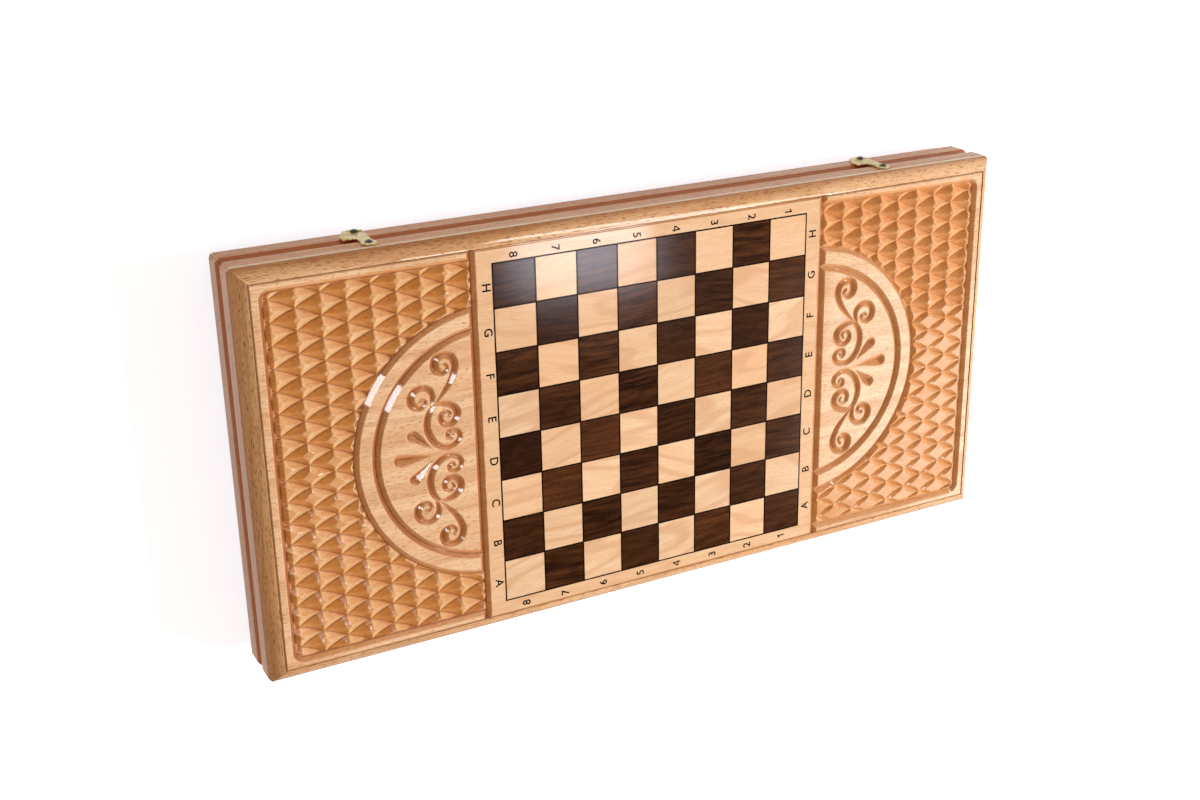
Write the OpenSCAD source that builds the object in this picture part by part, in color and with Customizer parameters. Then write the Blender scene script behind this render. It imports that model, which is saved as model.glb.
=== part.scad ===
// Folding wooden game box: backgammon inside, chess and draughts on the lid.
// It lies closed on its carved back. X runs along its length, the latches face -Y
// and the hinges +Y. The lid, with the chess field, is the upper half.

/* [Outer panels] */
// Side of one chess square
chess_square = 31; // [26:0.5:36]
// Width of the lettered border beside the squares, along the box
label_side = 11; // [8:0.5:16]
// Width of the lettered border above and below the squares
label_edge = 10.5; // [8:0.5:16]
// Length of one carved wing beside the chess field
wing_l = 151; // [120:1:190]
// Thickness of a panel
panel_t = 8; // [6:0.5:10]
// Gap between a panel's edge and its frame
panel_gap = 0.2; // [0.1:0.05:0.5]
// Thickness of the inlaid chess veneer
chess_t = 0.8; // [0.5:0.1:1.5]
// Width of the dark lines between the squares
line_w = 1.1; // [0.4:0.1:1.4]

/* [Frame] */
// Height of one half of the box
half_h = 29; // [26:0.5:36]
// Thickness of a frame rail where the halves meet
rail_w = 15; // [14:0.5:20]
// Width of the rounded moulding, seen from above
moulding_w = 10.5; // [8:0.5:12]
// Height of the rounded moulding
moulding_h = 9.5; // [7:0.5:11]
// Radius of the moulding's curve
moulding_r = 19; // [13:0.1:30]
// Cut across the frame's upright corners
corner_cut = 3; // [1:0.5:5]
// Height of the bevel beside the seam, on each half
seam_h = 5.5; // [4:0.5:7]
// Depth of the bevel beside the seam
seam_d = 3.5; // [3.5:0.1:4.5]
// Gap between the two closed halves
seam_gap = 0.3; // [0.2:0.05:0.5]
// Small bevel on each side of the line round a panel
edge_cut = 0.8; // [0.4:0.1:1.2]

/* [Carving] */
// Width of the long V grooves
groove_w = 6.5; // [4:0.5:8]
// Depth of the long V grooves
groove_d = 2.5; // [1.5:0.1:3.5]
// From the chess veneer to the middle of the groove beside it
groove_off = 4; // [3.5:0.5:6]
// From a panel's end to the middle of its border groove
border_end = 8.2; // [6:0.2:12]
// From a panel's side to the middle of its border groove
border_side = 6.5; // [5:0.2:10]
// Radius of the medallion's inner ring groove
ring_in = 82.8; // [70:0.1:85]
// Radius of the medallion's outer ring groove
ring_out = 97.7; // [94:0.1:98]
// From the wing's groove back to the middle of its medallion
medal_back = 9; // [0:0.5:14]
// Distance between lattice crossings along the box
lattice_x = 33.4; // [28:0.2:40]
// Distance between lattice crossings across the box
lattice_y = 15.2; // [13:0.2:20]
// Width of a lattice cut
cut_w = 4; // [2:0.2:4.6]
// Depth of a lattice cut
cut_d = 2.6; // [1.5:0.1:3.5]

/* [Playing field] */
// Thickness of the inlaid playing field
field_t = 1; // [0.8:0.1:1.5]
// Length of a point
point_l = 225; // [160:1:235]
// Space between the bases of two points
point_gap = 1.6; // [0.8:0.1:4]
// Width of a point's blunted tip
point_tip = 1.2; // [0.6:0.1:3]

/* [Hinges] */
// Distance of a hinge from the middle of the box
hinge_x = 190; // [120:1:200]
// Length of a hinge
hinge_l = 30; // [25:1:40]
// Width of a hinge leaf from the pin
leaf_w = 12; // [11:0.5:14]
// Thickness of a hinge leaf
leaf_t = 1.2; // [1:0.1:1.5]
// Radius of the hinge knuckles
knuckle_r = 2.4; // [2:0.1:2.5]
// Radius of the hinge pin
pin_r = 1.2; // [0.9:0.05:1.3]
// Running clearance round the pin
pin_fit = 0.05; // [0.02:0.01:0.09]
// How far the pin stands outside the frame's face
pin_out = 0.2; // [0.15:0.05:0.4]
// Distance between the screws of a leaf
leaf_pitch = 10; // [8:0.5:11]

/* [Latches] */
// Distance of a latch from the middle of the box
latch_x = 202; // [120:1:230]
// Distance of each latch screw from the seam
latch_h = 14; // [12.5:0.1:14.2]
// Thickness of the hook plate
hook_t = 1; // [0.8:0.1:1.6]
// Height of the hook plate above the wood
hook_lift = 0.6; // [0.4:0.1:1.2]
// Radius of the hook's eye
eye_r = 5.3; // [4.5:0.1:6]
// Radius of the hook's head round the catch screw
head_r = 6.6; // [5.5:0.1:7.5]
// Length of the finger tab beside the catch screw
tab_l = 13; // [11:0.5:16]
// Clearance of the notch round the catch screw
notch_fit = 0.35; // [0.25:0.05:0.6]

/* [Screws] */
// Radius of a latch screw's shank
latch_screw_r = 1.6; // [1.3:0.1:1.8]
// Radius of a latch screw's head
latch_head_r = 2.8; // [2.6:0.1:3.4]
// Height of a latch screw's domed head
latch_head_h = 1.4; // [1.2:0.1:2]
// Radius of a hinge screw's shank
leaf_screw_r = 1.1; // [0.9:0.1:1.4]
// Radius of a hinge screw's countersunk head
leaf_head_r = 2.1; // [1.8:0.1:2.4]
// Depth that a screw reaches into the wood
screw_l = 10; // [8:0.5:12]
// Clearance between a screw and its hole
screw_fit = 0.05; // [0.02:0.01:0.1]

/* [Hidden] */
$fn = 64;

beech = "burlywood";
pale_wood = "wheat";
dark_wood = "#4a3024";
brass = "#cdb76a";
steel = "#4b4742";

squares = 8;                // squares along one side of the chess field
points = 6;                 // points at one end of one half
leaf_screws = 3;            // screws in one hinge leaf
eps = 0.01;                 // overlap of a cutter past the face that it opens
past = 20;                  // a cutter's reach into open space

grid = squares * chess_square;
chess_l = grid + 2 * label_side;
panel_w = grid + 2 * label_edge;
panel_l = chess_l + 2 * wing_l;
box_l = panel_l + 2 * moulding_w;
box_w = panel_w + 2 * moulding_w;
in_l = box_l - 2 * rail_w;
in_w = box_w - 2 * rail_w;
box_h = 2 * half_h;

groove_x = chess_l / 2 + groove_off;
border_x = panel_l / 2 - border_end;
border_y = panel_w / 2 - border_side;
medal_x = groove_x - medal_back;

axis_y = box_w / 2 + pin_out;
leaf_z = seam_gap / 2;      // a leaf's outer face, flush with the seam face
knuckle_n = 3;              // knuckles of one hinge
knuckle_l = hinge_l / knuckle_n;
knuckle_gap = 0.2;          // end gap between two knuckles
leaf_back = 0.4;            // from a leaf's edge to the other leaf's knuckles
mortise_fit = 0.1;

reach = 2 * latch_h;        // from the pivot screw to the catch screw
notch_r = latch_screw_r + notch_fit;
hook_air = 0.1;             // play of the hook under its screw head
hook_out = hook_lift + hook_t + hook_air;

// Turns an upright drawing so that its x is Y, its y is Z and its depth is X
module along_x(length) {
    rotate([90, 0, 90]) linear_extrude(length, center = true) children();
}

// Places something drawn above the seam in the lid, or turned over in the base
module in_half(lid) {
    translate([0, 0, half_h]) mirror([0, 0, lid ? 0 : 1]) children();
}

// Places something at -x or at +x, as one of a left and right pair
module on_side(right, x) {
    translate([right ? x : -x, 0, 0]) children();
}

// Frame

// Section of a rail: x inwards from the frame's face, y up from the seam
module rail_section() {
    flat_top = half_h - moulding_h;
    chord = norm([moulding_w, moulding_h]);
    drop = sqrt(pow(moulding_r, 2) - pow(chord / 2, 2));
    difference() {
        polygon([
            [seam_d, seam_gap / 2], [0, seam_h], [0, half_h], [moulding_w, half_h],
            [moulding_w, half_h - panel_t], [rail_w, half_h - panel_t], [rail_w, seam_gap / 2]
        ]);
        difference() {
            translate([-past, flat_top]) square([past + moulding_w, past]);
            translate([moulding_w / 2 + drop * moulding_h / chord,
                half_h - moulding_h / 2 - drop * moulding_w / chord])
                circle(moulding_r, $fn = 128);
        }
        polygon([
            [moulding_w - edge_cut, half_h + eps], [moulding_w + eps, half_h + eps],
            [moulding_w + eps, half_h - edge_cut]
        ]);
    }
}

// Plan of the rail at +Y, mitred, with half of each corner's cut
module long_plan() {
    polygon([
        [corner_cut - box_l / 2, box_w / 2], [box_l / 2 - corner_cut, box_w / 2],
        [(box_l - corner_cut) / 2, (box_w - corner_cut) / 2], [(box_l - box_w) / 2, 0],
        [(box_w - box_l) / 2, 0], [(corner_cut - box_l) / 2, (box_w - corner_cut) / 2]
    ]);
}

// Plan of the rail at +X
module short_plan() {
    polygon([
        [box_l / 2, box_w / 2 - corner_cut], [box_l / 2, corner_cut - box_w / 2],
        [(box_l - corner_cut) / 2, (corner_cut - box_w) / 2], [(box_l - box_w) / 2, 0],
        [(box_l - corner_cut) / 2, (box_w - corner_cut) / 2]
    ]);
}

module long_rail() {
    intersection() {
        along_x(box_l) translate([box_w / 2, 0]) mirror([1, 0]) rail_section();
        linear_extrude(half_h) long_plan();
    }
}

module short_rail() {
    intersection() {
        rotate([0, 0, -90]) along_x(box_w) translate([box_l / 2, 0]) mirror([1, 0]) rail_section();
        linear_extrude(half_h) short_plan();
    }
}

module hinge_rail() {
    color(beech) difference() {
        long_rail();
        for (x = [-hinge_x, hinge_x]) translate([x, axis_y, 0]) {
            translate([-hinge_l / 2 - mortise_fit, -leaf_w - mortise_fit, -eps])
                cube([hinge_l + 2 * mortise_fit, leaf_w + past, leaf_z + leaf_t + eps]);
            leaf_screw_places() cylinder(r = leaf_screw_r + screw_fit, h = screw_l + leaf_z + screw_fit);
        }
    }
}

module latch_rail() {
    color(beech) difference() {
        mirror([0, 1, 0]) long_rail();
        for (x = [-latch_x, latch_x])
            translate([x, screw_l + screw_fit - box_w / 2, latch_h]) rotate([90, 0, 0])
                cylinder(r = latch_screw_r + screw_fit, h = screw_l + past);
    }
}

module end_rail(right) {
    color(beech) mirror([right ? 0 : 1, 0, 0]) short_rail();
}

// Carved panels, drawn with their outer face at z = 0 and the wood below it

// V groove along X, its middle on the axis
module groove(length, width, depth) {
    along_x(length) polygon([
        [-width / 2 * (1 + eps), eps * depth], [0, -depth], [width / 2 * (1 + eps), eps * depth]
    ]);
}

module ring_groove(radius) {
    rotate_extrude($fn = 128) translate([radius, 0]) polygon([
        [-groove_w / 2 * (1 + eps), eps * groove_d], [0, -groove_d],
        [groove_w / 2 * (1 + eps), eps * groove_d]
    ]);
}

// Crossing V cuts over a field from x0 to x1, one cut through each crossing point
module lattice(x0, x1) {
    slope = atan2(lattice_y, lattice_x);
    middle = (x0 + x1) / 2;
    across = (x1 - x0) * tan(slope) / 2 + border_y;
    rows = ceil(across / lattice_y);
    for (side = [-1, 1], k = [-rows : rows])
        translate([middle, k * lattice_y, 0]) rotate([0, 0, side * slope])
            groove(2 * (x1 - x0) + 2 * border_y, cut_w, cut_d);
}

// One carved wing of the lid, at +X
module wing_cuts() {
    intersection() {
        lattice(groove_x, border_x);
        translate([0, 0, -panel_t]) linear_extrude(panel_t + past) difference() {
            translate([groove_x, -border_y]) square([border_x - groove_x, 2 * border_y]);
            translate([medal_x, 0]) circle(ring_out, $fn = 128);
        }
    }
    for (y = [-border_y, border_y])
        translate([(groove_x + border_x) / 2, y, 0])
            groove(border_x - groove_x, groove_w, groove_d);
    translate([border_x, 0, 0]) rotate([0, 0, 90]) groove(2 * border_y, groove_w, groove_d);
    translate([groove_x, 0, 0]) rotate([0, 0, 90]) groove(panel_w + past, groove_w, groove_d);
    intersection() {
        translate([medal_x, 0, 0]) union() {
            ring_groove(ring_in);
            ring_groove(ring_out);
        }
        translate([groove_x, -panel_w / 2, -panel_t]) cube([wing_l, panel_w, panel_t + past]);
    }
}

// The border and the whole medallion on the back
module back_cuts() {
    for (y = [-border_y, border_y]) translate([0, y, 0]) groove(2 * border_x, groove_w, groove_d);
    for (x = [-border_x, border_x])
        translate([x, 0, 0]) rotate([0, 0, 90]) groove(2 * border_y, groove_w, groove_d);
    ring_groove(ring_in);
    ring_groove(ring_out);
}

// A panel with a small bevel round its outer face
module plain_panel() {
    l = panel_l - 2 * panel_gap;
    w = panel_w - 2 * panel_gap;
    difference() {
        translate([-l / 2, -w / 2, -panel_t]) cube([l, w, panel_t]);
        for (y = [-w / 2, w / 2]) translate([0, y, 0]) groove(l + past, 2 * edge_cut, edge_cut);
        for (x = [-l / 2, l / 2])
            translate([x, 0, 0]) rotate([0, 0, 90]) groove(w + past, 2 * edge_cut, edge_cut);
    }
}

module lid_panel() {
    color(beech) translate([0, 0, box_h]) difference() {
        plain_panel();
        wing_cuts();
        mirror([1, 0, 0]) wing_cuts();
        translate([-chess_l / 2, -panel_w / 2 - past, -chess_t])
            cube([chess_l, panel_w + 2 * past, chess_t + past]);
    }
}

module base_panel() {
    color(beech) mirror([0, 0, 1]) difference() {
        plain_panel();
        back_cuts();
    }
}

// Chess field

module chess_border() {
    w = panel_w - 2 * panel_gap - 2 * edge_cut;
    color(pale_wood) translate([0, 0, box_h - chess_t]) difference() {
        translate([-chess_l / 2, -w / 2, 0]) cube([chess_l, w, chess_t]);
        translate([-(grid + line_w) / 2, -(grid + line_w) / 2, -eps])
            cube([grid + line_w, grid + line_w, chess_t + 2 * eps]);
    }
}

// Outlines of the squares of one colour; the corner at +X, -Y is dark
module square_outlines(dark) {
    for (i = [0 : squares - 1], j = [0 : squares - 1])
        if (((i + j) % 2 == 1) == dark)
            translate([(i + 0.5) * chess_square - grid / 2, (j + 0.5) * chess_square - grid / 2])
                square(chess_square - line_w, center = true);
}

module chess_squares(dark) {
    color(dark ? dark_wood : pale_wood) translate([0, 0, box_h - chess_t])
        linear_extrude(chess_t) square_outlines(dark);
}

module chess_lines() {
    color(dark_wood) translate([0, 0, box_h - chess_t]) linear_extrude(chess_t) difference() {
        square(grid + line_w, center = true);
        square_outlines(true);
        square_outlines(false);
    }
}

// Playing field, drawn for the lid half: its face looks down at the seam

// Outlines of the points of one colour, at both ends of a half
module point_outlines(dark) {
    pitch = in_w / points;
    for (end = [0, 1], k = [0 : points - 1])
        if (((k + end) % 2 == 0) == dark)
            mirror([end, 0]) translate([-in_l / 2, (k + 0.5) * pitch - in_w / 2])
                polygon([
                    [0, (point_gap - pitch) / 2], [0, (pitch - point_gap) / 2],
                    [point_l, point_tip / 2], [point_l, -point_tip / 2]
                ]);
}

module in_floor(lid) {
    in_half(lid) translate([0, 0, half_h - panel_t - field_t]) linear_extrude(field_t) children();
}

module play_field(lid) {
    color(pale_wood) in_floor(lid) difference() {
        square([in_l, in_w], center = true);
        point_outlines(true);
        point_outlines(false);
    }
}

module play_points(lid, dark) {
    color(dark ? dark_wood : beech) in_floor(lid) point_outlines(dark == lid);
}

// Hinges, drawn in the upper half with the pin along X at the origin

module leaf_screw_places() {
    for (k = [0 : leaf_screws - 1])
        translate([(k - (leaf_screws - 1) / 2) * leaf_pitch, knuckle_r / 2 - leaf_w / 2 - leaf_w / 8, 0])
            children();
}

// A leaf with its knuckles: the middle one for the lid, the outer ones for the base
module leaf(middle) {
    keep = [for (k = [0 : knuckle_n - 1]) if ((k % 2 == 1) == middle) k];
    edge = knuckle_r + leaf_back;
    difference() {
        union() {
            translate([-hinge_l / 2, -leaf_w, leaf_z]) cube([hinge_l, leaf_w - edge, leaf_t]);
            for (k = keep) {
                ends = [k == 0 ? 0 : knuckle_gap / 2, k == knuckle_n - 1 ? 0 : knuckle_gap / 2];
                translate([k * knuckle_l - hinge_l / 2 + ends[0], 0, 0]) {
                    length = knuckle_l - ends[0] - ends[1];
                    rotate([0, 90, 0]) cylinder(r = knuckle_r, h = length);
                    translate([0, -edge - eps, leaf_z]) cube([length, edge, leaf_t]);
                }
            }
        }
        rotate([0, 90, 0]) cylinder(r = pin_r + pin_fit, h = hinge_l + past, center = true);
        leaf_screw_places() {
            translate([0, 0, -eps]) cylinder(r = leaf_screw_r + screw_fit, h = leaf_t + past);
            translate([0, 0, leaf_z - eps])
                cylinder(r1 = leaf_head_r + screw_fit + eps, r2 = leaf_screw_r + screw_fit,
                    h = leaf_head_r - leaf_screw_r);
        }
    }
}

module hinge_leaf(lid, right) {
    color(brass) in_half(lid) on_side(right, hinge_x) translate([0, axis_y, 0]) leaf(lid);
}

module hinge_pin(right) {
    color(steel) in_half(true) on_side(right, hinge_x) translate([0, axis_y, 0])
        rotate([0, 90, 0]) cylinder(r = pin_r, h = hinge_l, center = true);
}

module leaf_screw() {
    difference() {
        translate([0, 0, leaf_z]) union() {
            cylinder(r = leaf_screw_r, h = screw_l);
            cylinder(r1 = leaf_head_r, r2 = leaf_screw_r, h = leaf_head_r - leaf_screw_r);
        }
        cross_recess(leaf_head_r, leaf_z);
    }
}

// A cross recess that opens downwards from the height z
module cross_recess(head, z) {
    arm = head * 0.62;
    wide = head * 0.22;
    for (turn = [0, 90]) rotate([0, 0, turn])
        translate([-arm, -wide / 2, z - eps]) cube([2 * arm, wide, head * 0.25 + eps]);
}

module hinge_screws(lid) {
    color(brass) in_half(lid) for (x = [-hinge_x, hinge_x])
        translate([x, axis_y, 0]) leaf_screw_places() leaf_screw();
}

// Latches, drawn with the wood's face at z = 0 and the plate above it; x is X and y is Z

// Puts a latch part on the frame's face, at its distance above or below the seam
module on_latch_side(right, z) {
    on_side(right, latch_x) translate([0, -box_w / 2, half_h + z]) rotate([90, 0, 0]) children();
}

// The notch that takes the catch screw, open along its path towards -x
module notch_outline() {
    translate([0, -reach]) circle(notch_r);
    intersection() {
        difference() {
            circle(reach + notch_r, $fn = 128);
            circle(reach - notch_r, $fn = 128);
        }
        translate([-past, -reach - past]) square([past, past + reach / 2]);
    }
}

// Outline of the hook, its pivot at the origin: eye, neck, head and a scalloped finger tab
module hook_outline() {
    lobe = tab_l * 0.14;
    low = -reach * 0.52;
    difference() {
        union() {
            circle(eye_r);
            polygon([
                [-eye_r * 0.85, 0], [eye_r * 0.85, 0], [eye_r * 0.75, -reach * 0.3],
                [eye_r, low - lobe], [-eye_r, low - lobe], [-eye_r * 0.75, -reach * 0.3]
            ]);
            translate([0, -reach]) circle(head_r);
            polygon([
                [-head_r * 0.95, -reach], [-eye_r, low - lobe], [tab_l * 0.95, low],
                [tab_l, -reach * 0.72], [tab_l * 0.5, -reach * 1.18], [0, -reach * 1.2]
            ]);
            for (k = [0 : 2]) translate([tab_l * (0.86 - 0.26 * k), low]) circle(lobe);
        }
        notch_outline();
        circle(latch_screw_r + pin_fit);
    }
}

module latch_hook(right) {
    color(brass) on_latch_side(right, latch_h) {
        translate([0, 0, hook_lift]) linear_extrude(hook_t) hook_outline();
        difference() {
            translate([0, 0, hook_air]) cylinder(r = eye_r * 0.85, h = hook_lift);
            cylinder(r = latch_screw_r + pin_fit, h = past, center = true);
        }
    }
}

// A domed screw with its shank through the plate into the wood
module latch_screw(out) {
    dome = (pow(latch_head_r, 2) + pow(latch_head_h, 2)) / (2 * latch_head_h);
    difference() {
        union() {
            translate([0, 0, -screw_l]) cylinder(r = latch_screw_r, h = screw_l + out + eps);
            translate([0, 0, out]) intersection() {
                cylinder(r = latch_head_r, h = latch_head_h);
                translate([0, 0, latch_head_h - dome]) sphere(dome, $fn = 96);
            }
        }
        translate([0, 0, out + latch_head_h]) mirror([0, 0, 1]) cross_recess(latch_head_r, 0);
    }
}

module pivot_screw(right) {
    color(steel) on_latch_side(right, latch_h) latch_screw(hook_out);
}

module catch_screw(right) {
    color(steel) on_latch_side(right, -latch_h) latch_screw(hook_out + notch_fit);
}

in_half(false) latch_rail();  // base_rail_front
in_half(false) hinge_rail();  // base_rail_back
in_half(false) end_rail(false);  // base_rail_left
in_half(false) end_rail(true);  // base_rail_right
base_panel();
play_field(false);  // base_field
play_points(false, true);  // base_points_dark
play_points(false, false);  // base_points_light
in_half(true) latch_rail();  // lid_rail_front
in_half(true) hinge_rail();  // lid_rail_back
in_half(true) end_rail(false);  // lid_rail_left
in_half(true) end_rail(true);  // lid_rail_right
lid_panel();
play_field(true);  // lid_field
play_points(true, true);  // lid_points_dark
play_points(true, false);  // lid_points_light
chess_border();
chess_lines();
chess_squares(true);  // chess_squares_dark
chess_squares(false);  // chess_squares_light
hinge_leaf(false, false);  // hinge_left_base_leaf
hinge_leaf(true, false);  // hinge_left_lid_leaf
hinge_pin(false);  // hinge_left_pin
hinge_leaf(false, true);  // hinge_right_base_leaf
hinge_leaf(true, true);  // hinge_right_lid_leaf
hinge_pin(true);  // hinge_right_pin
hinge_screws(false);  // hinge_screws_base
hinge_screws(true);  // hinge_screws_lid
latch_hook(false);  // latch_left_hook
pivot_screw(false);  // latch_left_pivot_screw
catch_screw(false);  // latch_left_catch_screw
latch_hook(true);  // latch_right_hook
pivot_screw(true);  // latch_right_pivot_screw
catch_screw(true);  // latch_right_catch_screw
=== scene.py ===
import math

import bmesh
import bpy
import numpy as np
from mathutils import Matrix, Vector


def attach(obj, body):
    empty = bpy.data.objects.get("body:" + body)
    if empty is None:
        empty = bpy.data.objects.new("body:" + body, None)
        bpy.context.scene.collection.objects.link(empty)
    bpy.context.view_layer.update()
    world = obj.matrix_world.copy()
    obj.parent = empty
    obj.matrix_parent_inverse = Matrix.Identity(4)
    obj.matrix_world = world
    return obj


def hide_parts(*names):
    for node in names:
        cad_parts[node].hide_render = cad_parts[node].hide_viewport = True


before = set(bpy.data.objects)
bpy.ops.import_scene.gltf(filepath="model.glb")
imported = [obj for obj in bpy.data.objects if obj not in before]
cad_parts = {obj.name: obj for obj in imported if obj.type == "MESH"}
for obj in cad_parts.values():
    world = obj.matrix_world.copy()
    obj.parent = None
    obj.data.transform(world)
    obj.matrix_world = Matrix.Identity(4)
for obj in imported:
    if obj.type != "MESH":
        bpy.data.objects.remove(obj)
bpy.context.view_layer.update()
print("frame loaded:", len(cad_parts), "nodes")

scene = bpy.context.scene
scene.view_settings.view_transform = "Standard"
mm = 0.001


def shown(name, data):
    # a mesh, lamp or camera as an object of the scene
    obj = bpy.data.objects.new(name, data)
    scene.collection.objects.link(obj)
    return obj


# camera, floor and lights
camera = {
    "place": (0.52606, -0.41556, 0.98473),      # metres
    "aim": (0.04637, -0.01330, 0.05800),
    "upright": (-0.18243, -0.93290, -0.31050),  # which way is up in the picture
    "lens": 47.946,
    "sensor": 36,
    "clip": (0.02, 50),                         # nearest and farthest, metres
}
studio = {
    "fill": 0.40,                      # level of the room on matt surfaces
    "fillTint": (1.14, 0.84, 0.52),
    "mirrored": (0.55, 0.02),          # level of the room in gloss, near the floor and overhead
    "horizon": (0.0, 0.32),            # between which heights that level falls
    "floorSize": 6.0,                  # metres
    "floorColour": 0.86,
    "floorRough": 0.9,
    "floorWhite": (0.66, 0.71, 0.80),  # own glow of the floor, seen by the camera only
    "floorMirrored": 0.75,
    "lamps": {
        # name: direction from the case, distance, turn about that direction in degrees, width, length, brightness,
        # tint, what it lights
        "key": ((-0.82, 0.20, 0.54), 3.2, 0, 1.30, 1.70, 19.0, (1.0, 0.99, 0.97), "matt"),
        "panelRight": ((-0.635, 0.337, 0.696), 2.45, 0, 0.36, 0.50, 3.4, (1, 1, 1), "gloss"),
        "stripRight": ((-0.396, 0.190, 0.898), 1.6, 4, 0.23, 0.14, 9.0, (0.93, 0.94, 1.06), "gloss"),
        "stripLeft": ((0.699, -0.273, 0.661), 1.6, -25, 0.27, 0.44, 19.0, (1, 1, 1), "gloss"),
        "stripTop": ((-0.53, -0.43, 0.73), 2.5, -38, 1.50, 0.34, 19.0, (1, 1, 1), "gloss"),
    },
}


def makeCamera(s):
    # axes of the camera: back from aim to place, right square to upright and back, up square to both
    data = bpy.data.cameras.new("camera")
    data.lens, data.sensor_width = s["lens"], s["sensor"]
    data.clip_start, data.clip_end = s["clip"]
    back = (Vector(s["place"]) - Vector(s["aim"])).normalized()
    right = Vector(s["upright"]).cross(back).normalized()
    up = back.cross(right)
    turn = Matrix((right, up, back)).transposed().to_4x4()
    obj = shown("camera", data)
    obj.matrix_world = Matrix.Translation(s["place"]) @ turn
    scene.camera = obj


def makeRoom(s):
    # even light from all round: tinted fill on matt surfaces, a level that falls with height in gloss, white behind
    world = bpy.data.worlds.new("room")
    scene.world = world
    world.use_nodes = True
    tree = world.node_tree
    make, link = tree.nodes.new, tree.links.new
    path = make("ShaderNodeLightPath")
    height = make("ShaderNodeSeparateXYZ")
    link(make("ShaderNodeTexCoord").outputs["Generated"], height.inputs[0])
    fall = make("ShaderNodeMapRange")
    link(height.outputs["Z"], fall.inputs["Value"])
    for key, value in zip(("From Min", "From Max", "To Min", "To Max"), (*s["horizon"], *s["mirrored"])):
        fall.inputs[key].default_value = value
    gloss = make("ShaderNodeMix")
    gloss.inputs[2].default_value = s["fill"]
    tint = make("ShaderNodeMix")
    tint.data_type = "RGBA"
    tint.inputs[6].default_value = (1, 1, 1, 1)
    tint.inputs[7].default_value = (*s["fillTint"], 1)
    link(path.outputs["Is Diffuse Ray"], tint.inputs[0])
    link(path.outputs["Is Glossy Ray"], gloss.inputs[0])
    link(fall.outputs["Result"], gloss.inputs[3])
    level = make("ShaderNodeMix")
    level.inputs[3].default_value = 1.0
    link(path.outputs["Is Camera Ray"], level.inputs[0])
    link(gloss.outputs[0], level.inputs[2])
    room = tree.nodes["Background"]
    link(tint.outputs[2], room.inputs["Color"])
    link(level.outputs[0], room.inputs["Strength"])


def makeLamps(s):
    # rectangles that face the case, each at its distance along its direction: power is brightness times pi times area
    for name, (direction, distance, roll, width, height, bright, tone, lights) in s["lamps"].items():
        data = bpy.data.lights.new(name, "AREA")
        data.shape, data.size, data.size_y = "RECTANGLE", width, height
        data.energy, data.color = bright * math.pi * width * height, tone
        obj = shown(name, data)
        obj.visible_glossy, obj.visible_diffuse = lights != "matt", lights != "gloss"
        obj.location = Vector(direction).normalized() * distance
        back = obj.location.normalized()
        side = Vector((0, 1, 0)).cross(back).normalized()
        turn = Matrix((side, back.cross(side), back)).transposed() @ Matrix.Rotation(math.radians(roll), 3, "Z")
        obj.rotation_euler = turn.to_euler()


def makeFloor(s):
    # white table under the case: plain matt white with its own glow to the camera, and one even level in gloss
    h = s["floorSize"]
    mesh = bpy.data.meshes.new("floor")
    mesh.from_pydata([(-h, -h, 0), (h, -h, 0), (h, h, 0), (-h, h, 0)], [], [(0, 1, 2, 3)])
    shown("floor", mesh)
    material = bpy.data.materials.new("white_table")
    material.use_nodes = True
    tree = material.node_tree
    make, link = tree.nodes.new, tree.links.new
    shader = tree.nodes["Principled BSDF"]
    shader.inputs["Base Color"].default_value = (*[s["floorColour"]] * 3, 1)
    shader.inputs["Roughness"].default_value = s["floorRough"]
    path = make("ShaderNodeLightPath")
    glow, dim = make("ShaderNodeEmission"), make("ShaderNodeEmission")
    seen, matt, mirrored = make("ShaderNodeAddShader"), make("ShaderNodeMixShader"), make("ShaderNodeMixShader")
    glow.inputs["Color"].default_value = (*s["floorWhite"], 1)
    link(shader.outputs[0], seen.inputs[0])
    link(glow.outputs[0], seen.inputs[1])
    dim.inputs["Strength"].default_value = s["floorMirrored"]
    link(path.outputs["Is Glossy Ray"], mirrored.inputs["Fac"])
    link(shader.outputs[0], mirrored.inputs[1])
    link(dim.outputs[0], mirrored.inputs[2])
    link(path.outputs["Is Camera Ray"], matt.inputs["Fac"])
    link(mirrored.outputs[0], matt.inputs[1])
    link(seen.outputs[0], matt.inputs[2])
    link(matt.outputs[0], tree.nodes["Material Output"].inputs["Surface"])
    mesh.materials.append(material)


makeCamera(camera)
makeRoom(studio)
makeLamps(studio)
makeFloor(studio)
print("camera and studio ready")

# materials
def colour(r, g, b):
    # picture values 0 to 255, made linear
    c = np.array([r, g, b]) / 255
    return tuple(np.where(c < 0.04045, c / 12.92, ((c + 0.055) / 1.055) ** 2.4)) + (1.0,)


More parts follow.
